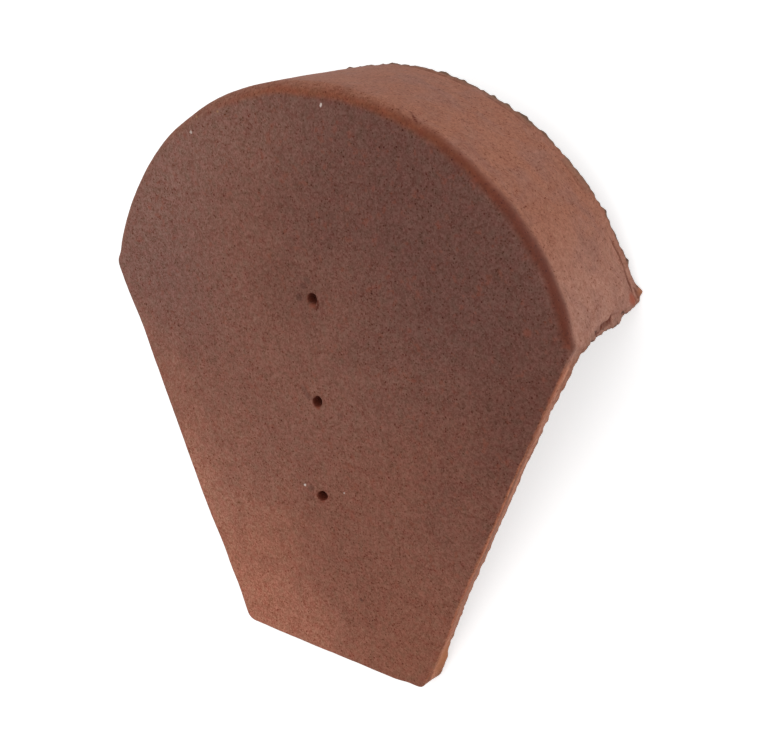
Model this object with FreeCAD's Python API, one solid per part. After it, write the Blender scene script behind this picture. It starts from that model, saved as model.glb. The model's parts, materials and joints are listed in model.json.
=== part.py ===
"""Ridge end tile: the fired-clay tile that closes the open end of a half-round ridge.

One piece of clay. A flat face plate, rounded over the crown and tapering to a narrow foot, carries a
hood: a curved wall that goes back from the crown's edge and laps over the end of the last ridge tile.
The face rolls over a nose into the hood. Behind, clay is worked into the corner between plate and hood:
a root along the hood's inside, and a heel round each of its two ends, out to the side of the plate.
Three nail holes run down the middle of the plate.

The tile is drawn upright: +X across, +Y from the face towards the back, +Z up, with the origin in the
face at the centre of the crown's arc. It is then laid face up, as it lies unheld on a floor: on the foot
edge and on the two lower corners of the hood's back rim. There +Y points from foot to crown, +Z is up,
and the origin is on the floor under the middle of the tile. Millimetres.
"""
import FreeCAD
import Part

import math
import os

# Face plate
CROWN_RADIUS = 125.0         # outside of the rounded crown
CROWN_HALF_ANGLE = 73.0      # degrees, from the top of the crown round to each shoulder
FOOT_WIDTH = 103.0
FOOT_DROP = 141.0            # from the crown's centre down to the foot edge
PLATE_THICKNESS = 9.5
SHOULDER_RADIUS = 4.0        # corner of the outline, where the crown meets a side
FOOT_CORNER_RADIUS = 5.0     # corner of the outline, where a side meets the foot

# Hood
HOOD_DEPTH = 63.0            # from the face to the back rim
HOOD_WALL = 10.0
HOOD_END_RADIUS = 3.0        # upright inner corner at each end of the hood
NOSE_RADIUS = 5.0            # front edge over the crown, where the face rolls into the hood
ROOT_RADIUS = 10.0           # hollow of the clay worked into the corner between plate and hood

# Eased edges
EDGE_RADIUS = 2.0            # front and back edge of the plate, and up the hood's ends
RIM_RADIUS = 1.5             # round the hood's back rim, less than EDGE_RADIUS

# Nail holes
HOLE_DIAMETER = 5.0
HOLE_COUNT = 3
TOP_HOLE_HEIGHT = 35.5       # above the crown's centre
HOLE_PITCH = 46.0

MARGIN = 2.0                 # how far a cutting or trimming body runs past the surface it meets
SMALL = 1e-4                 # two lengths closer than this are the same

HALF_ANGLE = math.radians(CROWN_HALF_ANGLE)
HOOD_INSIDE = CROWN_RADIUS - HOOD_WALL
SHOULDER_X = CROWN_RADIUS * math.sin(HALF_ANGLE)
SHOULDER_Z = CROWN_RADIUS * math.cos(HALF_ANGLE)
SIDE_SLOPE = math.atan2(SHOULDER_X - FOOT_WIDTH / 2, SHOULDER_Z + FOOT_DROP)

# Axis of the rounded inner corner at the hood's right end: its distance from the crown's centre and its
# angle from the top of the crown.
END_CORNER_REACH = HOOD_INSIDE + HOOD_END_RADIUS
END_CORNER_ANGLE = HALF_ANGLE - math.asin(HOOD_END_RADIUS / END_CORNER_REACH)

ORIGIN = FreeCAD.Vector(0, 0, 0)
ACROSS = FreeCAD.Vector(1, 0, 0)
BACK = FreeCAD.Vector(0, 1, 0)


def around(angle, radius, depth=0):
    """The point at this angle from the top of the crown, to the right, and this distance out."""
    return FreeCAD.Vector(radius * math.sin(angle), depth, radius * math.cos(angle))


def closed_face(corners):
    """A flat face from its corners in order. A pair holds an arc's middle point and its end point."""
    edges = []
    start = corners[0]
    for corner in corners[1:] + [corners[0]]:
        if isinstance(corner, tuple):
            middle, end = corner
            edges.append(Part.Arc(start, middle, end).toShape())
        else:
            end = corner
            edges.append(Part.LineSegment(start, end).toShape())
        start = end
    return Part.Face(Part.Wire(edges))


def edges_where(shape, test):
    """The edges whose every end passes the test."""
    return [edge for edge in shape.Edges if all(test(vertex.Point) for vertex in edge.Vertexes)]


def turned(profile, half_angle):
    """A profile drawn above the crown's centre, swept as far to one side as to the other."""
    degrees = math.degrees(half_angle)
    return profile.rotated(ORIGIN, BACK, -degrees).revolve(ORIGIN, BACK, 2 * degrees)


def outline_block(depth):
    """The outline of the face, its four corners rounded, as a block from the face back to a depth."""
    foot = FreeCAD.Vector(FOOT_WIDTH / 2, 0, -FOOT_DROP)
    foot_left = FreeCAD.Vector(-FOOT_WIDTH / 2, 0, -FOOT_DROP)
    shoulder = around(HALF_ANGLE, CROWN_RADIUS)
    shoulder_left = around(-HALF_ANGLE, CROWN_RADIUS)
    outline = closed_face([shoulder_left, (around(0, CROWN_RADIUS), shoulder), foot, foot_left])
    block = outline.extrude(BACK * depth)
    for radius, height in ((SHOULDER_RADIUS, SHOULDER_Z), (FOOT_CORNER_RADIUS, -FOOT_DROP)):
        level = edges_where(block, lambda point: abs(point.z - height) < SMALL)
        upright = [edge for edge in level if abs(edge.Vertexes[0].Y - edge.Vertexes[-1].Y) > SMALL]
        block = block.makeFillet(radius, upright)
    return block


def face_plate():
    plate = outline_block(PLATE_THICKNESS)
    return plate.makeFillet(EDGE_RADIUS, edges_where(plate, lambda point: abs(point.y) < SMALL))


def hood_wall():
    """The curved wall, from inside the plate back to the rim, with its inner end corners rounded."""
    wall = turned(closed_face([
        around(0, HOOD_INSIDE, NOSE_RADIUS),
        around(0, CROWN_RADIUS, NOSE_RADIUS),
        around(0, CROWN_RADIUS, HOOD_DEPTH),
        around(0, HOOD_INSIDE, HOOD_DEPTH),
    ]), HALF_ANGLE)

    inside = edges_where(wall, lambda point: abs(math.hypot(point.x, point.z) - HOOD_INSIDE) < SMALL)
    upright = [edge for edge in inside if isinstance(edge.Curve, Part.Line)]
    return wall.makeFillet(HOOD_END_RADIUS, upright)


def worked_in(start, outwards):
    """Cut through the clay in the corner between wall and plate.

    It starts at the wall's foot and runs outwards under a hollow quarter round, which leaves the wall
    and meets the plate smoothly. The part below that is buried in the plate.
    """
    end = start + outwards * ROOT_RADIUS
    bend = ROOT_RADIUS * (1 - math.sqrt(0.5))
    down = BACK * (NOSE_RADIUS - PLATE_THICKNESS)
    hollow = (start + outwards * bend + BACK * bend, start + BACK * ROOT_RADIUS)
    return closed_face([start + down, end + down, end, hollow])


def root():
    start = around(0, HOOD_INSIDE, PLATE_THICKNESS)
    return turned(worked_in(start, around(math.pi, 1)), END_CORNER_ANGLE)


def heel():
    """The worked-in clay round the hood's right end: round its inner corner, then straight out."""
    along_end = around(HALF_ANGLE, 1)
    off_end = around(HALF_ANGLE + math.pi / 2, 1)
    corner = around(END_CORNER_ANGLE, END_CORNER_REACH, PLATE_THICKNESS)
    section = worked_in(corner + off_end * HOOD_END_RADIUS, off_end)
    turn = 90 - math.degrees(HALF_ANGLE - END_CORNER_ANGLE)
    return section.revolve(corner, BACK, turn).fuse(section.extrude(along_end * (HOOD_WALL + MARGIN)))


def hood():
    """Wall, root and heels, trimmed to the outline of the face."""
    right = heel()
    left = right.mirror(ORIGIN, ACROSS)
    return hood_wall().fuse([root(), right, left]).common(outline_block(HOOD_DEPTH + MARGIN))


def nose_cutter():
    """What lies outside the rolled nose. It ends where a side comes closest to the crown's centre."""
    low = CROWN_RADIUS - NOSE_RADIUS
    bend = NOSE_RADIUS * math.sqrt(0.5)
    rolled = (around(0, low + bend, NOSE_RADIUS - bend), around(0, CROWN_RADIUS, NOSE_RADIUS))
    high = CROWN_RADIUS + MARGIN
    return turned(closed_face([
        around(0, low, 0),
        rolled,
        around(0, high, NOSE_RADIUS),
        around(0, high, -MARGIN),
        around(0, low, -MARGIN),
    ]), math.pi / 2 + SIDE_SLOPE)


def ease_back(tile):
    """Round the edge that runs over foot, sides, heels and hood ends, then the edges of the rim."""
    block = outline_block(HOOD_DEPTH)
    wall = Part.makeShell([face for face in block.Faces if abs(face.normalAt(0, 0).y) < SMALL])

    def on_rim(point):
        return abs(point.y - HOOD_DEPTH) < SMALL

    def on_wall(point):
        return point.y > PLATE_THICKNESS - SMALL and wall.distToShape(Part.Vertex(point))[0] < SMALL

    def round_the_back(edge):
        return not all(on_rim(vertex.Point) for vertex in edge.Vertexes)

    chain = [edge for edge in edges_where(tile, on_wall) if round_the_back(edge)]
    tile = tile.makeFillet(EDGE_RADIUS, chain)
    return tile.makeFillet(RIM_RADIUS, edges_where(tile, on_rim))


def nail_holes():
    length = PLATE_THICKNESS + 2 * MARGIN
    heights = [TOP_HOLE_HEIGHT - i * HOLE_PITCH for i in range(HOLE_COUNT)]
    starts = [FreeCAD.Vector(0, -MARGIN, height) for height in heights]
    return [Part.makeCylinder(HOLE_DIAMETER / 2, length, start, BACK) for start in starts]


def upright_tile():
    tile = face_plate().fuse(hood()).cut(nose_cutter()).removeSplitter()
    return ease_back(tile).cut(nail_holes())


def seat_tilt():
    """Degrees between the plate and the floor the tile lies on.

    The floor touches the foot's back edge and, at the hood's ends, the lowest points of the rim. Each is
    rounded like a ball; the floor is the plane that touches both balls.
    """
    foot_y = PLATE_THICKNESS - EDGE_RADIUS
    foot_z = EDGE_RADIUS - FOOT_DROP
    rim_y = HOOD_DEPTH - RIM_RADIUS
    rim_z = around(END_CORNER_ANGLE, END_CORNER_REACH).z - HOOD_END_RADIUS + RIM_RADIUS
    apart = math.hypot(rim_y - foot_y, rim_z - foot_z)
    slope = math.atan2(rim_y - foot_y, rim_z - foot_z) - math.asin((EDGE_RADIUS - RIM_RADIUS) / apart)
    return math.degrees(slope)


def laid_down(tile):
    """The tile face up on the floor, with the origin under the middle of the box round it."""
    low = tile.rotated(ORIGIN, ACROSS, seat_tilt() - 90)
    box = low.optimalBoundingBox(False)
    return low.translated(FreeCAD.Vector(-box.Center.x, -box.Center.y, -box.ZMin))


tile = laid_down(upright_tile())
assert tile.isValid() and len(tile.Solids) == 1

os.makedirs("parts", exist_ok=True)
tile.exportStep("parts/ridge_end_tile.step")
box = tile.optimalBoundingBox(False)
print("box", round(box.XLength, 2), round(box.YLength, 2), round(box.ZLength, 2))
print("volume cm3", round(tile.Volume / 1000, 1))
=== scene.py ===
"""Ridge end tile: the looks of one fired-clay tile, built round its packed construction.

The tile closes the end of a half-round roof ridge. A flat plate, rounded over the crown and tapering to a
foot, carries a hood that goes back from the crown's edge. It is one closed skin with the marks of its
making, and it lies face up on a pale studio floor.

Shapes are worked out in the tile's own upright frame: x across, y from the face towards the back, z up,
with the origin in the face at the centre of the crown's arc. They are laid on the floor at the end.
Lengths are in metres.
"""

import functools
import itertools
import json
import math

import bpy
import numpy as np
from bpy.props import FloatProperty, FloatVectorProperty, IntProperty, PointerProperty
from mathutils import Matrix, Vector


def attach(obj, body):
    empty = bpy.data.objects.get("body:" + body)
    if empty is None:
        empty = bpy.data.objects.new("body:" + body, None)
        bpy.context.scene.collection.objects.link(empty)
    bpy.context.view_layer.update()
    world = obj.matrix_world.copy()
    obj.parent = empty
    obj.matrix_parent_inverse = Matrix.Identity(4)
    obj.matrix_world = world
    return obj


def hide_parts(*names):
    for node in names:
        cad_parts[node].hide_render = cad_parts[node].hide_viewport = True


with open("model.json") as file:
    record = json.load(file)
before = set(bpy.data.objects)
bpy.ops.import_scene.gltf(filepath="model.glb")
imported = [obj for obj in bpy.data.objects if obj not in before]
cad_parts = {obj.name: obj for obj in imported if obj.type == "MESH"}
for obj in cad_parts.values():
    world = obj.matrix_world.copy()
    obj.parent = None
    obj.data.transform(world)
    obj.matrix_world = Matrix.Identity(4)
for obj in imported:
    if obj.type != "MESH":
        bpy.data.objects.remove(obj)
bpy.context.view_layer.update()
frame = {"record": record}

bl_info = {
    "name": "Ridge End Tile",
    "version": (1, 0, 0),
    "blender": (4, 5, 0),
    "location": "3D View > Sidebar > Ridge Tile",
    "description": "Builds a hand-finished clay ridge end tile and the studio it lies in",
    "category": "Add Mesh",
}

NODE = "ridge_end_tile"
BODY = "root"
MOUNTS = {mount["name"]: mount for mount in frame["record"]["mounts"]}
HOLES = ("nail_hole_top", "nail_hole_middle", "nail_hole_bottom")

# A millimetre, and what is too small to count, in metres.
MM = 0.001
TINY = 1e-9
RIGHT_ANGLE = math.pi / 2
BACKWARD = np.array([0.0, 1.0, 0.0])
WHITE = (1.0, 1.0, 1.0, 1.0)

# The skin is a stack of closed rings. The finest ring has COLUMNS points; others leave out every second
# one, or keep every fourth or eighth.
COLUMNS = 1408
HALF = COLUMNS // 2

# A rectangle down the middle of the plate holds the nail holes in one cell each. Its edge has a point for
# every eighth column.
CELL_WIDTH = 30 * MM
CELL_ACROSS = 16
CELL_UP = 24

# The rounds of a nail hole's front rim, before it flares, and of its back rim, in millimetres.
FRONT_ROUND = 0.7
BACK_ROUND = 0.5

# Neighbouring triangles of the skin that turn by more than this are drawn out, this many times over.
TIGHT_TURN = math.radians(80.0)
UNFOLDINGS = 14

# The spacing of a curve's stored points, and a length that stands for any too great to matter.
CURVE_STEP = 0.05 * MM
FAR = 100 * MM

# The back edge turns from the rim down the hood's end in a quarter circle of the first radius. The second is
# the width of the flat border along the plate's back edge. The third is how far inside the outline the
# columns of the back head straight for the rectangle.
RIM_TURN = 4 * MM
BORDER = 7 * MM
STRAIGHTEN = 24 * MM

# Points that a path is traced with: a long stretch, the heel, the rim's turn, and a stretch inside.
LONG_TRACE, HEEL_TRACE, TURN_TRACE, INSIDE_TRACE = 400, 600, 30, 60

# Rows of the skin: over the face, round the nose, along the outer wall and its last part, round the back
# edge, across its flat, finely down the inside, and on over the back. Then the length of the wall's last part
# and the step of the fine rows.
ROWS = {"face": 26, "nose": 9, "wall": 20, "last": 10, "edge": 5, "flat": 7, "fine": 5, "back": 45}
LAST_PART = 8 * MM
FINE_STEP = 0.85 * MM

# Rows round a nail hole: in over its cell, round its front rim, down its bore, round its back rim, and out.
HOLE_ROWS = {"cell": 12, "mouth": 5, "bore": 4, "back": 4, "out": 7}


# ---------------------------------------------------------------------------------------------- settings

def length(name, text, default, low=0.0, high=1.0):
    """A length setting in metres."""
    return FloatProperty(name=name, description=text, default=default, min=low, max=high,
                         unit="LENGTH", precision=5)


def share(name, text, default, high=1.0):
    """A plain amount from nothing upwards."""
    return FloatProperty(name=name, description=text, default=default, min=0.0, max=high)


def colour(name, text, default):
    """A colour setting, in linear light."""
    return FloatVectorProperty(name=name, description=text, default=default, size=3, min=0.0, max=1.0,
                               subtype="COLOR")


def degrees(name, text, default, low=-360.0, high=360.0):
    """An angle setting, given in degrees and kept in radians."""
    return FloatProperty(name=name, description=text, default=math.radians(default), subtype="ANGLE",
                         min=math.radians(low), max=math.radians(high))


class TileSizes(bpy.types.PropertyGroup):
    """Sizes of the tile as it is thrown and cut."""

    crown_radius: length("Crown radius", "Outside radius of the round top", 0.125)
    crown_half_angle: degrees("Crown half angle", "Turn from the top of the crown to each end of the hood",
                              73.0, 30.0, 90.0)
    foot_width: length("Foot width", "Width of the plate's straight foot", 0.103)
    foot_drop: length("Foot drop", "Distance from the crown's centre down to the foot", 0.141)
    shoulder_radius: length("Shoulder radius", "Rounding where the crown meets the tapering side", 0.004)
    foot_corner_radius: length("Foot corner radius", "Rounding of the plate's bottom corners", 0.005)
    plate: length("Plate thickness", "Thickness of the face plate",
                  MOUNTS[HOLES[0]]["dims"]["length_mm"] * MM)
    hood_inside: length("Hood inside", "Inside radius of the hood",
                        MOUNTS["hood_socket"]["dims"]["r_mm"] * MM)
    hood_length: length("Hood length", "How far the hood goes back from the plate's back",
                        MOUNTS["hood_socket"]["dims"]["length_mm"] * MM)
    end_radius: length("Hood end rounding", "Rounding of the inner corners at the hood's two ends", 0.003)
    nose: length("Nose", "Roll of the face over into the hood", 0.005)
    root: length("Root", "Fillet of clay worked in where the hood meets the plate", 0.010)
    edge: length("Edge", "Easing of the plate's back edges and the hood's ends", 0.002)
    cut: length("Cut edge", "Easing of the face's cut edges, down the sides and along the foot", 0.0012)
    rim: length("Rim", "Easing of the hood's rim", 0.0015)
    hole_radius: length("Hole radius", "Radius of a nail hole", MOUNTS[HOLES[0]]["dims"]["r_mm"] * MM)


# ------------------------------------------------------------------------------------------ plane curves

def polar(angle, radius=1.0):
    """Point (r sin a, r cos a): its angle starts straight up and grows towards the right."""
    return np.stack([np.sin(angle) * radius, np.cos(angle) * radius], -1)


def norm(vectors):
    """Each vector's length: the square root of the sum of its squares."""
    return np.linalg.norm(vectors, axis=-1)


def unit(vectors):
    """Each vector over its own length."""
    return vectors / norm(vectors)[..., None]


def crowded(rows, power):
    """Steps from 0 that crowd together before they reach 1, which is left out: 1 - (1 - k / rows)^power."""
    return 1 - (1 - np.linspace(0, 1, rows + 1)[:-1]) ** power


def at_depth(points, y):
    """Points (x, z) of the plate's plane, carried back to the depth y."""
    return np.stack([points[..., 0], np.broadcast_to(y, points.shape[:-1]), points[..., 1]], -1)


def ease(x):
    """Smooth step: 3x^2 - 2x^3, held between 0 and 1."""
    x = np.clip(x, 0, 1)
    return x * x * (3 - 2 * x)


def ramp(value, start, end):
    """Smooth step of a length, from 0 at the start to 1 at the end, both in millimetres."""
    return ease((value - start * MM) / ((end - start) * MM))


def steps(rows):
    """Even steps up to 1, without the start at 0."""
    return np.linspace(0, 1, rows + 1)[1:]


def arc_points(centre, radius, start, end):
    """An arc's points: centre + r (sin a, cos a)."""
    count = max(3, int(abs(end - start) * radius / CURVE_STEP))
    return centre + radius * polar(np.linspace(start, end, count))


def line_points(start, end):
    """A straight line's points: start + f (end - start)."""
    count = max(3, int(norm(end - start) / CURVE_STEP))
    return start + (end - start) * np.linspace(0, 1, count)[:, None]


class Outline:
    """The edge of the face, from the top of the crown down the right side to the middle of the foot.

    Crown arc, shoulder rounding, tapering side, foot corner and foot follow each other with common
    tangents. A place on it is its length from the top of the crown, negative on the left.
    """

    def __init__(self, sizes):
        corner = polar(sizes.crown_half_angle, sizes.crown_radius)
        self.slope = math.atan2(corner[0] - sizes.foot_width / 2, corner[1] + sizes.foot_drop)
        out = np.array([math.cos(self.slope), -math.sin(self.slope)])
        up = np.array([math.sin(self.slope), math.cos(self.slope)])
        reach = out @ corner
        r = sizes.shoulder_radius
        shoulder = out * (reach - r) + up * math.sqrt((sizes.crown_radius - r) ** 2 - (reach - r) ** 2)
        r_foot = sizes.foot_corner_radius
        rise = (r_foot - sizes.foot_drop + math.sin(self.slope) * (reach - r_foot)) / math.cos(self.slope)
        foot = out * (reach - r_foot) + up * rise
        turn = math.atan2(*shoulder)
        down = RIGHT_ANGLE + self.slope
        parts = [
            arc_points(np.zeros(2), sizes.crown_radius, 0, turn),
            arc_points(shoulder, r, turn, down),
            line_points(shoulder + out * r, foot + out * r_foot),
            arc_points(foot, r_foot, down, math.pi),
            line_points(foot - [0, r_foot], np.array([0, -sizes.foot_drop])),
        ]
        points = np.concatenate(parts)
        self.points = points[np.r_[True, norm(np.diff(points, axis=0)) > TINY]]
        self.lengths = np.r_[0, np.cumsum(norm(np.diff(self.points, axis=0)))]
        self.half = self.lengths[-1]

    def at(self, s):
        """Points at the lengths s, read between the stored points; x changes sign on the left."""
        side, s = np.where(s < 0, -1.0, 1.0), np.abs(s)
        x, z = (np.interp(s, self.lengths, self.points[:, k]) for k in (0, 1))
        return np.stack([x * side, z], -1)

    def length_at_angle(self, angle):
        """Length at which the crown's arc has turned by this angle."""
        turned = np.arctan2(self.points[:, 0], self.points[:, 1])
        first = len(turned) // 2
        return np.interp(angle, turned[:first], self.lengths[:first])


# -------------------------------------------------------------------------------------- the tile's shape

class TileForm:
    """The plain form of the tile: plate, hood, root and heels, as curves and heights."""

    def __init__(self, sizes):
        self.sizes = sizes
        self.outline = Outline(sizes)
        self.depth = sizes.plate + sizes.hood_length
        self.root_top = sizes.plate + sizes.root
        angle = sizes.crown_half_angle
        self.end_along = polar(angle)
        self.end_off = polar(angle + RIGHT_ANGLE)
        self.corner_reach = sizes.hood_inside + sizes.end_radius
        self.corner_angle = angle - math.asin(sizes.end_radius / self.corner_reach)
        self.corner = polar(self.corner_angle, self.corner_reach)
        self.corner_turn = RIGHT_ANGLE - (angle - self.corner_angle)
        self.corner_length = sizes.end_radius * self.corner_turn
        self.s_end = self.outline.length_at_angle(angle)
        self.hole_heights = hole_heights()
        self.follow_back_edge()
        self.core = self.core_edge()

    def wall_gap(self, points):
        """Distance, in the plate's plane, from the foot of the hood's inner wall or end.

        Under the hood it is the distance to the inside circle, below its ends the distance to the end's
        line, and between the two the distance to the corner's small circle.
        """
        q = np.stack([np.abs(points[..., 0]), points[..., 1]], -1)
        to_circle = self.corner_reach - norm(q)
        to_end = q @ self.end_off + self.sizes.end_radius
        to_corner = norm(q - self.corner)
        under_hood = np.arctan2(q[..., 0], q[..., 1]) <= self.corner_angle
        beside_end = q @ self.end_along >= self.corner @ self.end_along
        gap = np.where(under_hood, to_circle, np.where(beside_end, to_end, to_corner))
        return gap - self.sizes.end_radius

    def back(self, points):
        """Height of the plate's back, with the root worked in.

        A quarter circle of radius R against the wall: plate + R - sqrt(R^2 - (R - gap)^2).
        """
        reach = self.sizes.root
        gap = np.clip(self.wall_gap(points), 0, reach)
        return self.sizes.plate + reach - np.sqrt(reach ** 2 - (reach - gap) ** 2)

    def follow_back_edge(self):
        """The skin's back edge as a path (s, y): length round the outline, and depth.

        It runs along the rim, turns down the hood's end, sweeps out over the heel and goes on along the
        plate's back edge to the foot. HALF + 1 even steps along it give the columns.
        """
        sizes, turn = self.sizes, np.linspace(0, RIGHT_ANGLE, TURN_TRACE)[1:]
        rim = np.linspace(0, self.s_end - RIM_TURN, LONG_TRACE)
        heel = self.s_end + np.linspace(0, 1, HEEL_TRACE) ** 2 * 2 * sizes.root
        heel_y = self.back(self.outline.at(heel))
        last = np.argmax(heel_y <= sizes.plate + TINY)
        side = np.linspace(heel[last], self.outline.half, LONG_TRACE)
        s = np.r_[rim, self.s_end - RIM_TURN * (1 - np.sin(turn)), self.s_end, heel[:last], side]
        y = np.r_[rim * 0 + self.depth, self.depth - RIM_TURN * (1 - np.cos(turn)), self.root_top,
                  heel_y[:last], side * 0 + sizes.plate]
        walked = np.r_[0, np.cumsum(np.hypot(np.diff(s), np.diff(y)))]
        fresh = np.r_[True, np.diff(walked) > TINY]
        s, y, walked = s[fresh], y[fresh], walked[fresh]
        self.u = np.linspace(0, walked[-1], HALF + 1)
        self.s_back, self.y_back = np.interp(self.u, walked, s), np.interp(self.u, walked, y)
        self.s_foot = heel[last]
        self.u_rim = self.s_end - RIM_TURN
        self.u_corner = self.u_rim + RIM_TURN * RIGHT_ANGLE
        self.u_heel = self.u_corner + self.depth - RIM_TURN - self.root_top
        below = walked > self.u_heel + 0.001 * MM
        self.u_foot = np.interp(self.s_foot, s[below], walked[below])
        self.turn = np.clip((self.u - self.u_rim) / (self.u_corner - self.u_rim), 0, 1) * RIGHT_ANGLE

    def core_edge(self):
        """Edge of the rectangle that holds the nail holes, shared out among the columns."""
        half = CELL_WIDTH / 2
        pitch = (self.hole_heights[0] - self.hole_heights[-1]) / 2
        top, bottom = self.hole_heights[0] + pitch / 2, self.hole_heights[-1] - pitch / 2
        across, down = CELL_ACROSS // 2, CELL_UP * 3
        stops = np.cumsum([0, across, down, across])
        k = np.linspace(0, stops[-1], HALF + 1)
        return np.stack([np.interp(k, stops, [0, half, half, 0]),
                         np.interp(k, stops, [top, top, bottom, bottom])], -1)

    def front_edge(self):
        """Where each column crosses the front outline, so that columns lean as little as they can.

        Lengths read between a few matched places of the back edge and the outline, then smoothed by a
        raised cosine over ten columns on each side.
        """
        middle = (self.u_heel + self.u_foot) / 2
        u = [0, self.u_heel, middle, self.u_foot, self.u[-1]]
        s = [0, self.s_end - RIM_TURN, self.s_end + 0.5 * MM, self.s_foot, self.outline.half]
        s_front = np.interp(self.u, u, s)
        reach = 10
        weights = np.hanning(2 * reach + 1)
        before = -s_front[reach:0:-1]
        after = 2 * s_front[-1] - s_front[-2:-reach - 2:-1]
        return np.convolve(np.r_[before, s_front, after], weights / weights.sum(), "valid")

    def down_to(self, y):
        """Length v down the hood's inner side, past the rim's quarter circle, at the depth y."""
        return self.sizes.rim * RIGHT_ANGLE + self.depth - self.sizes.rim - y

    def hood_inner(self, w, v):
        """The hood's inner side as a surface of two lengths.

        w goes round it: along the small corner arc, then back up the inside circle. v goes down it: round
        the rim's quarter circle, then straight towards the plate.
        """
        sizes = self.sizes
        quarter = sizes.rim * RIGHT_ANGLE
        turn = np.clip(w / sizes.end_radius, 0, self.corner_turn)
        out_corner = polar(sizes.crown_half_angle + RIGHT_ANGLE + turn)
        angle = self.corner_angle - (w - self.corner_length) / sizes.hood_inside
        on_corner = (w < self.corner_length)[..., None]
        normal = np.where(on_corner, out_corner, -polar(angle))
        foot = np.where(on_corner, self.corner + sizes.end_radius * out_corner,
                        polar(angle, sizes.hood_inside))
        bend = np.clip(v / sizes.rim, 0, RIGHT_ANGLE)
        offset = -sizes.rim * (1 - np.sin(bend))
        y = self.depth - sizes.rim * (1 - np.cos(bend)) - np.maximum(v - quarter, 0)
        return at_depth(foot + normal * offset[..., None], y)

    def inner_start(self):
        """Lengths (w, v) on the hood's inner side where each column comes over from the rim or end."""
        sizes, u = self.sizes, self.u
        quarter = sizes.rim * RIGHT_ANGLE
        rim = np.minimum(self.s_back, self.u_rim)
        w_rim = self.corner_length + (self.corner_angle - rim / sizes.crown_radius) * sizes.hood_inside
        w = np.where(u <= self.u_rim, w_rim, w_rim * (1 - np.sin(self.turn)))
        v = np.where(u <= self.u_rim, 0, (quarter + sizes.edge - sizes.rim) * (1 - np.cos(self.turn)))
        on_end = u > self.u_corner
        return np.where(on_end, 0, w), np.where(on_end, self.down_to(self.y_back), v)


def hole_heights():
    """Heights of the nail holes in the upright frame: their mounts' places, shifted and turned back."""
    turn, move = laid_down()
    places = np.array([MOUNTS[name]["pos_m"] for name in HOLES])
    return ((places - move) @ turn)[:, 2]


def laid_down():
    """Turn and shift that carry the upright tile onto the floor.

    The nail holes' axis is the face's normal, which is -y of the upright tile. The middle of the hood's
    hollow lies on the tile's y axis, half-way from the plate's back to the rim.
    """
    face_normal = unit(np.array(MOUNTS[HOLES[0]]["axis"]))
    across = np.array([1.0, 0.0, 0.0])
    turn = np.stack([across, -face_normal, np.cross(across, -face_normal)], 1)
    hood = MOUNTS["hood_socket"]
    plate = MOUNTS[HOLES[0]]["dims"]["length_mm"] * MM
    depth = plate + hood["dims"]["length_mm"] * MM / 2
    return turn, np.array(hood["pos_m"]) + face_normal * depth


# ------------------------------------------------------------------------------------------ rings of skin

# What a point carries where nothing else is said: the way across the nose, the way to the back edge, and
# whether it is out of sight and inside a nail hole.
PLAIN_VALUES = {"over": -FAR, "gap": FAR, "hidden": 0.0, "bore": 0.0}


class Skin:
    """Closed rings of points, each joined to the ring before, with a few values carried by every point."""

    def __init__(self, turned=False):
        self.rings = []
        self.turned = turned

    def add(self, half, every, **values):
        """Keeps every so-manieth column of a right half and of its mirror image, with its values.

        The left half is the columns between top and foot again, backwards, with x negated.
        """
        def whole(right, flip=1):
            return np.concatenate([right, right[-2:0:-1] * flip])[::every]

        carried = {name: whole(np.broadcast_to(value, (HALF + 1,))) for name, value in values.items()}
        self.rings.append((whole(half, np.array([-1, 1, 1])), carried))

    def faces(self):
        """Triangles between neighbouring rings: two for each step, or three where the count halves."""
        faces, start = [], 0
        for (a, _), (b, _) in itertools.pairwise(self.rings):
            near, far = start + np.arange(len(a)), start + len(a) + np.arange(len(b))
            after, beyond = np.roll(near, -1), np.roll(far, -1)
            if len(a) == len(b):
                parts = [(near, after, beyond), (near, beyond, far)]
            elif len(a) == 2 * len(b):
                parts = [(near[::2], near[1::2], far), (near[1::2], after[1::2], beyond),
                         (near[1::2], beyond, far)]
            else:
                parts = [(far[::2], near, far[1::2]), (far[1::2], after, beyond[1::2]),
                         (far[1::2], near, after)]
            faces += [np.stack(part, -1) for part in parts]
            start += len(a)
        faces = np.concatenate(faces)
        return faces[:, ::-1] if self.turned else faces

    def points(self):
        return np.concatenate([points for points, _ in self.rings])

    def values(self, name):
        return np.concatenate([np.broadcast_to(carried.get(name, PLAIN_VALUES[name]), (len(points),))
                               for points, carried in self.rings])


def resample(profile, distance):
    """Each column's point at this length along its own profile, read between the profile's points."""
    walked = np.cumsum(norm(np.diff(profile, axis=1)), axis=1)
    walked = np.concatenate([np.zeros((len(walked), 1)), walked], 1)
    after = (walked < distance[:, None]).sum(1).clip(1, walked.shape[1] - 1)
    row = np.arange(len(distance))
    low, high = walked[row, after - 1], walked[row, after]
    f = np.clip((distance - low) / np.maximum(high - low, TINY * MM), 0, 1)
    return profile[row, after - 1] + (profile[row, after] - profile[row, after - 1]) * f[:, None]


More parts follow.
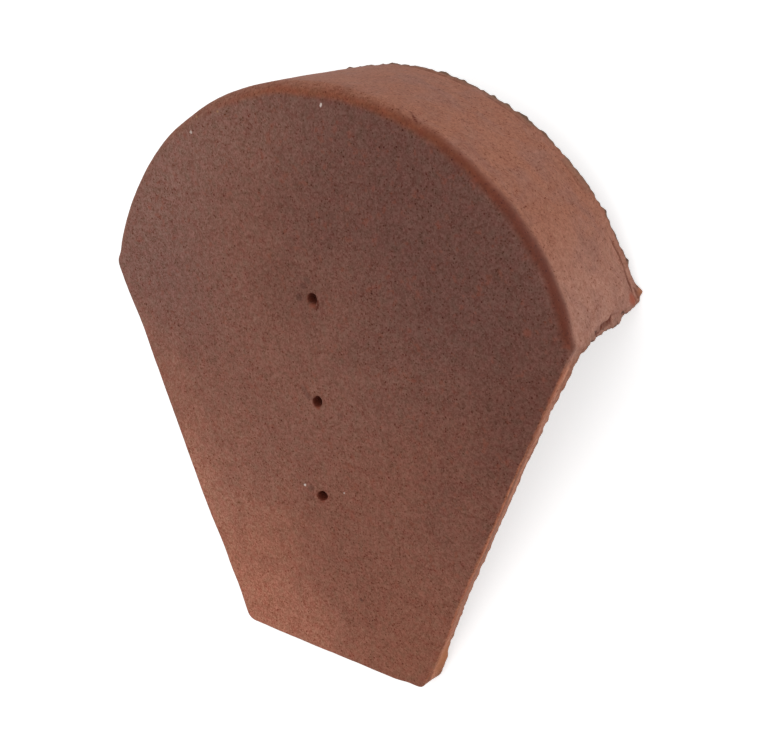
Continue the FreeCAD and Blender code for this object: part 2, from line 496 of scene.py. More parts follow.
def body_skin(form):
    """The whole skin but the nail holes' rectangle, front and back.

    Each column is a profile: out over the face, round the nose, back along the wall, round the back edge,
    across its flat, down the hood's inside, over the root and in across the plate's back.
    """
    skin, sizes, line = Skin(), form.sizes, form.outline
    core, s_back, y_back = form.core, form.s_back, form.y_back
    s_front = form.front_edge()
    front = line.at(s_front)
    inward = unit(core - front)
    roll = sizes.nose + (sizes.cut - sizes.nose) * ramp(s_front - form.s_end, -7, 4)

    # the face, from the holes' rectangle to where the nose starts to roll, with ever more of the columns
    start, finish = at_depth(core, 0.0), at_depth(front + inward * roll[:, None], 0.0)
    width = norm(finish - start)
    for k, f in enumerate(crowded(ROWS["face"], 1.25)):
        skin.add(start + (finish - start) * f, 8 if k < 8 else 4 if k < 19 else 2, over=(f - 1) * width)
    for bend in np.linspace(0, RIGHT_ANGLE, ROWS["nose"]):
        inset = front + inward * (roll * (1 - math.sin(bend)))[:, None]
        skin.add(at_depth(inset, roll * (1 - math.cos(bend))), 2, over=roll * bend)

    # the outer wall, straight in length and depth from the nose to the back edge's rounding
    edge = back_edge_frames(form)
    corner = at_depth(line.at(s_back), y_back)
    lean = edge["normal"]
    shift = np.sqrt(np.clip(1 - lean[:, 1] ** 2, 0, 1))
    s_top = s_back - shift * edge["radius"]
    y_top = y_back - lean[:, 1] * edge["radius"]
    height = y_top - roll
    last = 1 - np.minimum(LAST_PART, 0.45 * height) / height
    rows = [(f * last, 2) for f in steps(ROWS["wall"])]
    rows += [(last + (1 - last) * f, 1) for f in crowded(ROWS["last"], 1.25)[1:]]
    for f, every in rows:
        deep = roll + (y_top - roll) * f
        place = at_depth(line.at(s_front + (s_top - s_front) * f), deep)
        skin.add(place, every, gap=norm(place - corner), over=deep + roll * (RIGHT_ANGLE - 1))

    # the back edge: its rounding, then the rim's flat, the hood's end, the heel or the plate's border
    across, radius = edge["across"], edge["radius"][:, None]
    for bend in np.linspace(0, RIGHT_ANGLE, ROWS["edge"]):
        place = corner - lean * radius * (1 - math.sin(bend)) + across * radius * (1 - math.cos(bend))
        skin.add(place, 1, gap=0.0, over=y_back)
    start = corner + across * radius
    behind = (form.u > form.u_heel)[:, None]
    for f in steps(ROWS["flat"]):
        place = start + (edge["inner"] - start) * f
        on_back = at_depth(place[:, [0, 2]], form.back(place[:, [0, 2]]))
        place = np.where(behind, on_back, place)
        skin.add(place, 1, gap=norm(place - corner), over=y_back, hidden=f)

    # down the hood's inside, over the root and in across the back, with ever fewer of the columns
    profile = inside_profile(form, edge["inner"], front + inward * STRAIGHTEN)
    total = norm(np.diff(profile, axis=1)).sum(1)
    rows = [(FINE_STEP * (k + 1) * np.ones(HALF + 1), 1) for k in range(ROWS["fine"])]
    fine = FINE_STEP * ROWS["fine"]
    rows += [(fine + (total - fine) * f, 2 if k < 24 else 4 if k < 38 else 8)
             for k, f in enumerate(steps(ROWS["back"]) ** 1.12)]
    for distance, every in rows:
        place = resample(profile, distance)
        skin.add(place, every, gap=norm(place - corner), over=y_back, hidden=1.0)
    return skin


def back_edge_frames(form):
    """For each column: the back edge's outward normal, the way in across it, its rounding and where it ends.

    The normal turns from straight back on the rim to square off the hood's end, follows the heel's quarter
    circle, and is straight back again along the plate.
    """
    sizes = form.sizes
    place = form.outline.at(form.s_back)
    off, along = at_depth(form.end_off, 0.0), -form.end_along
    on_hood = np.cos(form.turn)[:, None] * BACKWARD + np.sin(form.turn)[:, None] * off
    steep = np.arcsin(np.clip(1 - np.clip(form.wall_gap(place) / sizes.root, 0, 1), 0, 1))
    on_heel = np.sin(steep)[:, None] * off + np.cos(steep)[:, None] * BACKWARD
    behind = (form.u > form.u_heel)[:, None]
    to_core = unit(form.core - place)
    past = ramp(form.s_back - form.s_foot, 0, 25)[:, None]
    across = np.where((form.s_back < form.s_end)[:, None], -unit(place),
                      unit(along + (to_core - along) * past))
    w, v = form.inner_start()
    border = place + across * (BORDER + past * MM)
    return {
        "normal": np.where(behind, on_heel, on_hood),
        "across": at_depth(across, 0.0),
        "radius": sizes.rim + (sizes.edge - sizes.rim) * form.turn / RIGHT_ANGLE,
        "inner": np.where(behind, at_depth(border, form.back(border)), form.hood_inner(w, v)),
    }


def inside_profile(form, start, rest):
    """Each column's path from the back edge's inner side to the holes' rectangle.

    Straight in the inner side's two lengths down to the root, then straight in plan, first to a point a
    little inside the outline and then to the rectangle, always at the height of the plate's back.
    """
    sizes, u = form.sizes, form.u
    w_start, v_start = form.inner_start()
    v_root = form.down_to(form.root_top)
    w_crown = form.corner_length + form.corner_angle * sizes.hood_inside
    w_root = np.interp(u, [0, form.u_heel - 3 * MM, form.u_heel], [w_crown, form.corner_length, 0])
    f = np.linspace(0, 1, INSIDE_TRACE)
    wall = form.hood_inner(w_start[:, None] + (w_root - w_start)[:, None] * f,
                           v_start[:, None] + (v_root - v_start)[:, None] * f)
    wall = np.where((u > form.u_heel)[:, None, None], start[:, None, :], wall)
    foot = wall[:, -1][:, [0, 2]]
    near = foot[:, None] + (rest - foot)[:, None] * (np.linspace(0, 1, 2 * INSIDE_TRACE) ** 2)[:, None]
    far = rest[:, None] + (form.core - rest)[:, None] * f[1:, None]
    plan = np.concatenate([near, far], 1)
    return np.concatenate([wall, at_depth(plan, form.back(plan))[:, 1:]], 1)


def hole_skin(form, height, shape):
    """One nail hole in its cell of the plate, from the cell's front edge through the hole to its back edge.

    Each point of the cell's edge is drawn in along its own direction from the hole's centre to a circle,
    whose radius changes with direction by the given shape. The hole's two rims are quarter rounds.
    """
    skin, sizes = Skin(turned=True), form.sizes
    half_width, half_height = CELL_WIDTH / 2, (form.hole_heights[0] - form.hole_heights[1]) / 2
    across = CELL_ACROSS // 2
    stops = np.cumsum([0, across, CELL_UP, CELL_ACROSS, CELL_UP, across])
    k = np.arange(stops[-1])
    edge = np.stack([np.interp(k, stops, np.array([0, 1, 1, -1, -1, 0]) * half_width),
                     np.interp(k, stops, np.array([1, 1, -1, -1, 1, 1]) * half_height)], -1)
    direction = unit(edge)
    wider, ease_front = hole_shape(np.arctan2(direction[:, 0], direction[:, 1]), *shape)
    radius, ease_back = sizes.hole_radius * (1 + wider), BACK_ROUND * MM
    centre = np.array([0.0, height])

    def ring(reach, y, bore):
        points = at_depth(centre + direction * reach[:, None], y)
        skin.rings.append((points, {"bore": bore, "hidden": (points[:, 1] > sizes.plate / 2) * 1.0}))

    outer = norm(edge)
    for f in crowded(HOLE_ROWS["cell"], 1.6):
        ring(outer + (radius + ease_front - outer) * f, 0.0, 0.0)
    for bend in np.linspace(0, RIGHT_ANGLE, HOLE_ROWS["mouth"]):
        ring(radius + ease_front * (1 - math.sin(bend)), ease_front * (1 - math.cos(bend)),
             bend / 2 * FRONT_ROUND * MM / ease_front)
    for f in steps(HOLE_ROWS["bore"] + 1)[:-1]:
        ring(radius, ease_front + (sizes.plate - ease_front - ease_back) * f, 1.0)
    for bend in np.linspace(RIGHT_ANGLE, 0, HOLE_ROWS["back"]):
        ring(radius + ease_back * (1 - math.sin(bend)), sizes.plate - ease_back * (1 - math.cos(bend)), 1.0)
    for f in steps(HOLE_ROWS["out"]) ** 1.4:
        ring(radius + ease_back + (outer - radius - ease_back) * f, sizes.plate, 0.0)
    return skin


# ------------------------------------------------------------------------------------------- hand-made marks

class Grain:
    """Smooth random height in space, between about -1 and 1.

    Every corner of a cubic lattice has a random slope. The height at a point is the sum over its cell's
    eight corners of slope . offset, blended by 6t^5 - 15t^4 + 10t^3 in each direction.
    """

    TABLE = 256

    def __init__(self, seed):
        pick = np.random.default_rng(seed)
        self.order = pick.permutation(self.TABLE)
        self.slopes = unit(pick.normal(size=(self.TABLE, 3)))

    def __call__(self, points, size):
        place = points / size
        cell = np.floor(place).astype(np.int64)
        offset = place - cell
        blend = offset ** 3 * (offset * (offset * 6 - 15) + 10)
        height = np.zeros(len(points))
        for corner in itertools.product((0, 1), repeat=3):
            x, y, z = ((cell + corner) % self.TABLE).T
            row = self.order[(self.order[x] + y) % self.TABLE]
            slope = self.slopes[self.order[(row + z) % self.TABLE]]
            weight = np.prod(np.where(corner, blend, 1 - blend), axis=1)
            height += weight * np.einsum("ij,ij->i", slope, offset - corner)
        return 1.6 * height


class Wear(bpy.types.PropertyGroup):
    """How uneven the hand-made tile is."""

    wander: length("Wander of the outline", "How far the outline strays from its true line", 0.00025, 0, 0.01)
    unevenness: length("Unevenness", "Height of the broad waves in the clay", 0.00030, 0, 0.01)
    grain: length("Grain", "Height of the small waves in the clay", 0.00006, 0, 0.01)
    torn: length("Torn edge", "Height of the tears along the back edge", 0.0006, 0, 0.01)
    torn_width: length("Torn width", "How far the tears reach in from the back edge", 0.0022, 0, 0.01)
    groove: length("Groove", "Depth of the line scored inside the rim", 0.0004, 0, 0.01)
    dents: share("Dents", "Strength of the single dents, lumps and cracks", 1.0, 2.0)
    seed: IntProperty(name="Seed", description="Picks another run of the same wear", default=7, min=0)


# The outline strays in and out from here, a little below the crown's centre.
STRAY_CENTRE = np.array([0.0, -10 * MM])
# Where each kind of wear starts among the seeds, so that no two share a grain.
STRAY_SEED, SURFACE_SEED, DRAG_SEED, LINE_SEED, LIP_SEED = 0, 2, 9, 20, 23
# Turns from the top of the crown, and the scored line's distance from the rim there in millimetres.
LINE_TURNS = [0.0, 0.6, 0.85, 1.0, 1.05, 1.09, 1.13, 1.18, 1.24]
LINE_INSETS = [5.0, 5.4, 7.0, 7.1, 5.2, 4.0, 4.1, 5.2, 5.0]
# Broad bends of the outline: place, width each way and outward move, in millimetres of the upright frame.
BENDS = [
    ((58, 9, -122), (16, 30, 20), 1),
    ((66, 9, -106), (14, 30, 12), 1.1),
    ((-63, 5, 105), (11, 40, 11), -0.5),
    ((-57, 5, -125), (20, 40, 14), -1.7),
    ((-66, 5, -103), (20, 40, 12), -1.5),
    ((-93, 5, -38), (40, 40, 12), -0.6),
    ((-100, 5, -18), (40, 40, 15), -1.35),
    ((-108, 5, 6), (40, 40, 14), -2.2),
    ((-118, 5, 33), (16, 40, 9), -1),
    ((-40, 63, 118), (21, 30, 40), -2.2),
    ((-10, 63, 124), (11, 25, 40), -0.7),
    ((75, 63, 100), (22, 30, 22), 0.35),
    ((111, 63, 57), (11, 25, 13), -1.3),
    ((99, 9, -20), (30, 30, 12), -0.35),
]
# Single lumps and dents: place, width each way and height, in millimetres of the upright frame.
LUMPS = [
    ((118, 62.8, 41.3), (2.2, 2.4, 2.3), 1.9),
    ((118.4, 59.8, 41.5), (1.2, 1.2, 3), -0.7),
    ((112.8, 62.5, 54.3), (1.2, 1.5, 1.3), 0.9),
    ((1.3, 0, 32.6), (1.3, 2, 2.2), -0.5),
    ((118, 13, 32.5), (5, 5.5, 4.5), 0.6),
    ((119.6, 34, 36), (2, 7, 1.6), 0.5),
    ((113.5, 9, 22), (5, 3, 8), 0.9),
    ((59, 9, -123), (4.5, 5, 7), 1.5),
    ((56, 7.5, -134), (5, 5, 4), 2.3),
    ((58, 8.5, -129), (4.5, 4, 5), 1.6),
    ((58, 9, -136.5), (3.5, 4.5, 2.2), -1.5),
    ((46.5, 4, -142), (6.5, 12, 3.5), -1.3),
    ((81, 1, 95.5), (1.8, 1.5, 1.8), -0.7),
    ((86.5, 1.5, 91), (2.2, 1.5, 2), -0.5),
    ((92.5, 1, 85.5), (1.8, 1.3, 1.8), -0.7),
]
# Cracks: start, finish, width and height, in the same way.
CRACKS = [
    ((119.1, 21.5, 37.5), (118.9, 30.5, 38), 1, -1),
    ((118.9, 30.5, 38), (118.7, 36.5, 39.2), 0.9, -0.8),
    ((118.7, 36.5, 39.2), (118.9, 43.5, 38.7), 0.8, -0.5),
    ((117.2, 59.5, 44), (118.6, 61.2, 39.6), 0.9, -0.6),
]


def bell(distance, width):
    """exp(-(d / width)^2): one at the place itself, fading to nothing."""
    return np.exp(-(distance / width) ** 2)


def crosses(points, faces):
    """Each triangle's outward direction, as long as twice its area: the cross product of two sides."""
    a, b, c = (points[faces[:, k]] for k in range(3))
    return np.cross(b - a, c - a)


def gathered(index, vectors, count):
    """For each of the points, the sum of the vectors that name it in the index."""
    return np.stack([np.bincount(index, vectors[:, k], count) for k in range(3)], -1)


def vertex_normals(points, faces):
    """Each vertex's outward direction: the sum of its faces' cross products, at length one."""
    total = gathered(faces.ravel(), np.repeat(crosses(points, faces), 3, axis=0), len(points))
    return unit(total + 1e-20)


def grains(wear, first, count):
    """Separate grains for one kind of wear."""
    return [Grain(wear.seed + first + k) for k in range(count)]


def add_bells(amount, points, places, strength):
    """Adds a bell round each place, of its own width each way and height, to an amount."""
    for place, width, lift in places:
        distance = norm((points - np.array(place) * MM) / (np.array(width) * MM))
        amount += strength * lift * MM * bell(distance, 1.0)


def strays(points, wear):
    """In-plane move of the whole thickness: outward by slow noise, in proportion to the distance out.

    Broad bells make the outline fuller or flatter at named places.
    """
    place = points * [1.0, 0.25, 1.0]  # the same stray through most of the thickness
    arm = points[:, [0, 2]] - STRAY_CENTRE
    reach = norm(arm)
    slow, quick = grains(wear, STRAY_SEED, 2)
    calm = 0.5 + 0.5 * ramp(points[:, 2], 10, 40)
    amount = wear.wander * calm * (slow(place, 46 * MM) + 0.35 * quick(place, 15 * MM))
    add_bells(amount, points, BENDS, wear.dents)
    amount *= ramp(reach, 25, 95)
    return at_depth(arm / np.maximum(reach, TINY)[:, None] * amount[:, None], 0.0)


def scored_line(form, points, hidden, wear):
    """Signed distance from the line scored round the hood inside its rim, and how strongly it shows.

    The line keeps 4 to 8 mm from the rim and strays by slow noise. It shows on the right half of the hood,
    deeper towards its end, and breaks off where another slow noise is low.
    """
    angle = np.arctan2(points[:, 0], points[:, 2])
    lengthwise = points * [1, 0, 1]
    broad, gaps, small = grains(wear, LINE_SEED, 3)
    inset = (np.interp(angle, LINE_TURNS, np.array(LINE_INSETS) * MM) + 0.3 * MM * broad(lengthwise, 26 * MM)
             + 0.5 * MM * small(lengthwise, 7 * MM))
    breaks = np.maximum(ease((gaps(lengthwise, 14 * MM) + 0.25) / 0.5), ease((angle - 1.0) / 0.15))
    on_hood = (hidden == 0) * (points[:, 1] > form.root_top + 20 * MM)
    ends = ease((angle - 0.05) / 0.1) * ease((form.sizes.crown_half_angle - 0.01 - angle) / 0.03)
    depth = 0.6 + 0.6 * ease((angle - 0.9) / 0.3)
    return form.depth - points[:, 1] - inset, on_hood * ends * breaks * depth


def end_lip(form, points, values, wear):
    """Move of the clay pushed down past the hood's ends, straight off the end.

    Its height along the depth y swells and fades again, with noise for its lumps. It is full at the
    end's outer edge and fades as a bell both up the hood's outside and in across the end.
    """
    y, z = points[:, 1], points[:, 2]
    right = points[:, 0] > 0
    large, small = grains(wear, LIP_SEED, 2)
    reach = np.where(values["hidden"] > 0, 2.8, 0.8) * MM
    near = bell(values["gap"], reach) * ramp(z, 18, 26) * ramp(z, 52, 46)
    along = ramp(y, 8, 13) * ramp(y, 50, 40)
    lumps = 1.25 + 0.9 * large(points, 4.5 * MM) + 0.5 * small(points, 2.2 * MM)
    amount = wear.dents * MM * near * along * np.maximum(lumps, 0.2) * np.where(right, 1.3, 0.5)
    off = at_depth(form.end_off, 0.0) * np.where(right[:, None], 1.0, [-1.0, 1.0, 1.0])
    return off * amount[:, None]


def made_by_hand(form, points, faces, values, wear):
    """The plain skin with the marks of its making.

    Slow strays of the outline and the lips of the hood's ends come first. Then each point moves along its
    normal by broad, middle and small noise, by tears near the back edge, and by the scored line and its burr
    inside the rim. Single lumps, dents and cracks are bells round named places.
    """
    plain, gap, z = points, values["gap"], points[:, 2]
    points = plain + strays(plain, wear) + end_lip(form, plain, values, wear)
    normals = vertex_normals(points, faces)
    broad, middle, small, ragged, rips = grains(wear, SURFACE_SEED, 5)
    height = wear.unevenness * (broad(plain, 42 * MM) + 0.4 * middle(plain, 13 * MM))
    height += wear.grain * small(plain, 3.2 * MM)

    # tears along the back edge, calmer low down, with knobs on the rim
    torn = bell(gap, wear.torn_width)
    uneven = 0.35 + 1.2 * ease(middle(plain * [1, 0, 1], 15 * MM) + 0.5)
    uneven *= 1 - 0.55 * ramp(z, 36, 16)
    height += wear.torn * torn * uneven * (0.70 * ragged(plain, 1.9 * MM) + 0.55 * rips(plain, 4.4 * MM))
    knobs = np.maximum(rips(plain - 1.0, 5.2 * MM) - 0.15, 0)
    height += wear.torn * bell(gap, 0.6 * wear.torn_width) * ramp(z, 44, 52) * 2.4 * knobs

    # the scored line inside the rim, with the clay it threw up standing outside it
    line, strength = scored_line(form, plain, values["hidden"], wear)
    burr = 1.0 + 0.9 * ragged(plain + 1.0, 3.1 * MM)
    height -= wear.groove * strength * bell(line, 0.8 * MM)
    height += wear.groove * 1.2 * strength * burr * bell(line + 1.9 * MM, 1.1 * MM)
    values["scored"] = np.where(strength > 0, np.clip(line, -5 * MM, 5 * MM), 5 * MM)

    add_bells(height, plain, LUMPS, wear.dents)
    values["crack"] = np.zeros(len(plain))
    waver = 0.6 * MM * np.stack([rips(plain + k, 6 * MM) for k in range(3)], -1)
    for start, finish, width, lift in CRACKS:
        start, along = np.array(start) * MM, (np.array(finish) - start) * MM
        f = np.clip((plain - start) @ along / (along @ along), 0, 1)
        near = bell(norm(plain + waver - start - f[:, None] * along), width * MM)
        height += wear.dents * lift * MM * near
        # how strongly each crack's painted shade shows in the clay's colour
        values["crack"] = np.maximum(values["crack"], min(1, -1.2 * lift) * near)
    points = points + normals * height[:, None]

    # tears also drag the edge sideways
    drag = np.stack([grain(plain, 3.1 * MM) for grain in grains(wear, DRAG_SEED, 3)], -1)
    return points + drag * (torn * wear.torn * 0.7)[:, None]


def rested(points):
    """Keeps the laid-down skin above the floor: height becomes (z + sqrt(z^2 + c^2)) / 2, c = 0.3 mm."""
    points = points.copy()
    height = points[:, 2]
    points[:, 2] = (height + np.sqrt(height ** 2 + (0.3 * MM) ** 2)) / 2
    return points


# How each nail hole strays, from the top one down: seed, growth, stretch, lean, rise and flare.
HOLE_SHAPES = [
    (31, -0.02, 0.04, 0.3, 0.36, 1.3),
    (32, 0.0, 0.12, 0.75, 0.0, 0.0),
    (33, 0.02, 0.17, 1.1, 0.0, 0.0),
]


def hole_shape(direction, seed, growth, stretch, lean, rise, flare):
    """How much wider a hole is in each direction, and how wide its front rim's round is.

    The radius changes by the growth, by an oval of the given stretch and lean, by noise, and by the rise
    times the cosine of the direction. Below, the round grows by the flare times that cosine squared.
    """
    ring = np.stack([np.sin(direction), np.cos(direction), np.zeros(len(direction))], -1)
    upward = np.cos(direction - 0.15)
    wider = growth + stretch * np.cos(2 * (direction - lean)) + rise * upward + 0.07 * Grain(seed)(ring, 0.7)
    return wider, (FRONT_ROUND + flare * np.minimum(upward, 0) ** 2) * MM


def joined(skins):
    """One skin from several: points that lie together, to a thousandth of a millimetre, become one."""
    points = np.concatenate([skin.points() for skin in skins])
    starts = np.cumsum([0] + [len(skin.points()) for skin in skins])
    faces = np.concatenate([skin.faces() + start for skin, start in zip(skins, starts)])
    _, first, index = np.unique(np.round(points / (0.001 * MM)).astype(np.int64), axis=0,
                                return_index=True, return_inverse=True)
    faces = index.ravel()[faces]
    sound = (faces != np.roll(faces, 1, axis=1)).all(axis=1)
    values = {name: np.concatenate([skin.values(name) for skin in skins])[first] for name in PLAIN_VALUES}
    return points[first], faces[sound], values


def unfolded(points, faces):
    """The skin with its tight folds drawn out.

    Where two neighbouring triangles turn from each other by more than the tight turn, the points of both
    move 0.6 of the way to the mean of their neighbours, several times over.
    """
    pairs = np.concatenate([faces[:, [0, 1]], faces[:, [1, 2]], faces[:, [2, 0]]])
    order = np.lexsort((pairs.max(axis=1), pairs.min(axis=1)))
    owner = np.tile(np.arange(len(faces)), 3)[order]
    one, other = owner[0::2], owner[1::2]
    near, far = pairs[:, 0], pairs[:, 1]
    count = np.bincount(near, minlength=len(points))[:, None]
    for _ in range(UNFOLDINGS):
        facing = unit(crosses(points, faces))
        tight = (facing[one] * facing[other]).sum(axis=-1) < math.cos(TIGHT_TURN)
        folded = np.zeros((len(points), 1))
        folded[faces[one[tight]]] = folded[faces[other[tight]]] = 0.6
        mean = gathered(near, points[far], len(points)) / count
        points = points + folded * (mean - points)
    return points


def tile_skin(form, wear):
    """The finished skin: points, triangles and the values that the clay's material reads."""
    holes = [hole_skin(form, *hole) for hole in zip(form.hole_heights, HOLE_SHAPES)]
    points, faces, values = joined([body_skin(form), *holes])
    return unfolded(made_by_hand(form, points, faces, values, wear), faces), faces, values


# ------------------------------------------------------------------------------------------- the fired clay

class ClayColours(bpy.types.PropertyGroup):
    """Colours of the fired clay, some also laid on as painted shade and painted light, and how strongly its
    marks show.
    """

    dark: colour("Reduced clay", "Purplish brown where the kiln starved of air", (0.162, 0.066, 0.049))
    warm: colour("Warm clay", "Orange brown where the fire was clear", (0.480, 0.196, 0.126))
    redder: colour("Redder clay", "Multiplies the face's colour below and to the right", (1.0, 0.930, 0.880))
    hearth: colour("Hearth", "Warm orange brown over the left of the foot", (0.495, 0.186, 0.118))
    rosy: colour("Rosy bloom", "Paler, pinker clay to the upper left", (0.228, 0.110, 0.089))
    hood: colour("Hood", "Pinkish brown of the hood's outside", (0.283, 0.107, 0.063))
    # partly paler clay and partly a painted sheen along the nose at the hood's right end
    flush: colour("Hood's end", "Paler, pinker clay towards the right end of the hood", (0.372, 0.183, 0.133))
    glow: colour("Glow", "Paler clay of the face towards the upper left of the crown", (0.300, 0.145, 0.108))
    side: colour("Cut side", "Orange brown of the cut side edges", (0.315, 0.108, 0.056))
    fresh: colour("Fresh side", "Paler clay towards the back of the cut sides", (0.405, 0.168, 0.103))
    # bright clay above the foot, and also a painted highlight on the knob at the hood's right end
    apricot_and_highlight: colour("Apricot", "Bright clay where the side swells above the foot", (0.440, 0.155, 0.062))
    inside: colour("Inside", "Duller clay of the back and the hood's hollow", (0.225, 0.092, 0.058))
    red: colour("Red skin", "Orange red of the rubbed nose", (0.270, 0.073, 0.030))
    shadow_red: colour("Dark skin", "Red brown of the rubbed nose on the dark side", (0.100, 0.016, 0.004))
    # reddish spots, and also painted light on the nail holes' lower lips
    ember: colour("Embers", "Small reddish spots", (0.300, 0.070, 0.036))
    # the torn edge's own colour, and also painted shade along the rim at the crown and beside the scored line
    ash_and_shade: colour("Torn edge", "Greenish grey of the torn back edge", (0.128, 0.080, 0.053))
    straw: colour("Straw flecks", "Yellow flecks", (0.520, 0.270, 0.120))
    lime: colour("Lime", "White flecks of lime", (0.750, 0.620, 0.560))
    # rust by the nail holes and on the nose, and also painted shade in the scored line and the cracks
    rust_and_shade: colour("Rust", "Dark red clay by the nail holes", (0.100, 0.016, 0.005))
    # smudges by the nail holes, and also painted shade in the notches of the back edge
    soot_and_shade: colour("Soot", "Dark smudges by the nail holes", (0.052, 0.018, 0.011))
    # red clay of the bores, darkened as painted shade inside the holes
    bore: colour("Bore", "Red brown inside the nail holes", (0.190, 0.036, 0.017))
    lilac: colour("Lilac bloom", "Greyer, purplish clouds on the hood", (0.235, 0.105, 0.078))
    grain: share("Grain", "How strongly the sandy grain shows", 1.28, 3.0)
    speckle: share("Speckle", "How strongly the dark specks show", 0.60)
    mottle: share("Mottle", "Strength of the soft cloudiness", 1.5, 3.0)
    roughness: share("Roughness", "Roughness of the dry clay", 0.78)


def rgb(value):
    """A colour with an alpha of 1."""
    return (*value, 1.0)


class Nodes:
    """Adds shader nodes to a material or a world and links them. Sizes of patterns are in millimetres."""

    def __init__(self, owner):
        owner.use_nodes = True
        self.tree = owner.node_tree
        self.tree.nodes.clear()

    def add(self, kind, inputs=None, **settings):
        """A node with its settings and its inputs, each a value or another node's socket."""
        node = self.tree.nodes.new("ShaderNode" + kind)
        for name, value in settings.items():
            setattr(node, name, value)
        for key, value in (inputs or {}).items():
            if isinstance(value, bpy.types.NodeSocket):
                self.tree.links.new(value, node.inputs[key])
            else:
                node.inputs[key].default_value = value
        return node

    def math(self, operation, *inputs, clamp=False):
        return self.add("Math", dict(enumerate(inputs)), operation=operation, use_clamp=clamp).outputs[0]

    def vector(self, operation, *inputs):
        return self.add("VectorMath", dict(enumerate(inputs)), operation=operation).outputs[0]

    def chain(self, operation, values):
        """One value from several, by the same operation between each and the next."""
        return functools.reduce(lambda a, b: self.math(operation, a, b), values)

    def times(self, *values):
        return self.chain("MULTIPLY", values)

    def plus(self, *values):
        return self.chain("ADD", values)

    def flip(self, value):
        """1 - value"""
        return self.math("SUBTRACT", 1.0, value, clamp=True)

    def sway(self, noise, *factors):
        """(noise - 0.5), times the factors: as often above nothing as below."""
        return self.times(self.plus(noise, -0.5), *factors)

    def band(self, value, low, high, bottom=0.0, top=1.0):
        """Smooth step of a value between two limits, carried to another pair."""
        return self.add("MapRange", {0: value, 1: low, 2: high, 3: bottom, 4: top},
                        interpolation_type="SMOOTHSTEP", clamp=True).outputs[0]

    def span(self, length, low, high, bottom=0.0, top=1.0):
        """Smooth step of a length between two limits in millimetres."""
        return self.band(length, low * MM, high * MM, bottom, top)

    def mix(self, factor, a, b, blend="MIX"):
        """Colour b laid over colour a."""
        return self.add("Mix", {0: factor, 6: a, 7: b}, data_type="RGBA", blend_type=blend).outputs[2]

    def laid(self, base, colour, *strengths):
        """A colour laid over the base, by the product of the strengths."""
        return self.mix(self.times(*strengths), base, rgb(colour))

    def noise(self, size, detail=2.0, rough=0.5, bend=0.0, at=None):
        """Cloudy value round 0.5 with features of this size."""
        return self.add("TexNoise", {"Vector": at or self.place, "Scale": 1 / (size * MM), "Detail": detail,
                                     "Roughness": rough, "Distortion": bend}).outputs[0]

    def dots(self, size):
        """Distance to the nearest of scattered points, in steps of size, and that point's three lots."""
        node = self.add("TexVoronoi", {"Vector": self.place, "Scale": 1 / (size * MM), "Randomness": 1.0})
        return node.outputs["Distance"], self.add("SeparateColor", {0: node.outputs["Color"]}).outputs

    def seen(self):
        """One for what the camera sees, straight, mirrored or through something, and none for other light."""
        path, kinds = self.add("LightPath").outputs, ("Camera", "Glossy", "Transmission")
        return self.chain("MAXIMUM", [path[f"Is {kind} Ray"] for kind in kinds])

    def surface(self, shader, output="OutputMaterial"):
        """Makes a shader node the surface of the material or world."""
        self.add(output, {"Surface": shader.outputs[0]})


class ClayNodes(Nodes):
    """The clay's nodes, with the place in the upright frame and the values that the mesh carries.

    The upright place is Object coordinates turned and shifted back from the floor.
    """

    def __init__(self, material):
        super().__init__(material)
        turn, move = laid_down()
        angle = math.atan2(turn[2, 1], turn[1, 1])
        self.place = self.add("Mapping", {"Vector": self.add("TexCoord").outputs["Object"],
                                          "Location": Vector(-turn.T @ move),
                                          "Rotation": (-angle, 0.0, 0.0)}, vector_type="POINT").outputs[0]
        self.x, self.y, self.z = self.add("SeparateXYZ", {0: self.place}).outputs
        for name in (*PLAIN_VALUES, "scored", "crack"):
            setattr(self, name, self.add("Attribute", attribute_name=name).outputs["Fac"])
        self.below = self.span(self.z, 26, 38, 1.0, 0.0)

    def mark(self, place, centre, size, turn, strength):
        """A soft-edged spot: an oval of this centre, size and turn in the face, full inside, none outside."""
        local = self.add("Mapping", {"Vector": place, "Location": Vector(centre) * MM,
                                     "Rotation": (0.0, turn, 0.0), "Scale": Vector(size) * MM},
                         vector_type="TEXTURE").outputs[0]
        distance = self.add("VectorMath", {0: local}, operation="LENGTH").outputs["Value"]
        return self.times(self.band(distance, 0.35, 1.0, 1.0, 0.0), strength)

    def marks(self, place, marks):
        """All the spots of one kind, the stronger where two meet."""
        return self.chain("MAXIMUM", [self.mark(place, *mark) for mark in marks])


